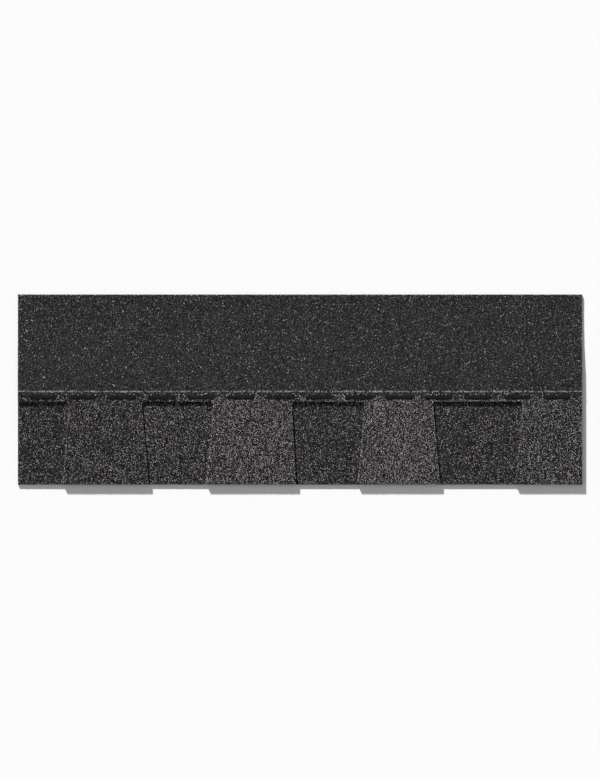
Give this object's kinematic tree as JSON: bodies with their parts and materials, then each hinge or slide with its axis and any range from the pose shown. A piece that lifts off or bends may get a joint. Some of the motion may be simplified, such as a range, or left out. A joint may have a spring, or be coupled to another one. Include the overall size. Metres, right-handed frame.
{
  "type": "laminated asphalt shingle",
  "caption": "Laminated asphalt roof shingle: a toothed, granule-faced top sheet bonded to a plain backer sheet, with sealant dashes and a release tape.",
  "frame": {"origin": "bottom centre of the shingle's box: the floor it lies on, halfway along its length and halfway from the butt edge to the top edge", "axes": "+X along the shingle to the right as seen on the roof, +Y up the slope, away from the butt edge, +Z out of the granule face"},
  "size_m": [1, 0.337, 0.0064],
  "materials": {
    "granules": "mineral granules in asphalt, charcoal blend",
    "backer_granules": "mineral granules in asphalt, dark charcoal",
    "laminating_asphalt": "black asphalt",
    "sealant": "glossy black asphalt",
    "release_film": "thin clear film"
  },
  "bodies": {
    "root": {"top_sheet": "granules", "backer_sheet": "backer_granules", "laminating_asphalt": "laminating_asphalt", "seal_strip": "sealant", "release_tape": "release_film"}
  },
  "joints": []
}
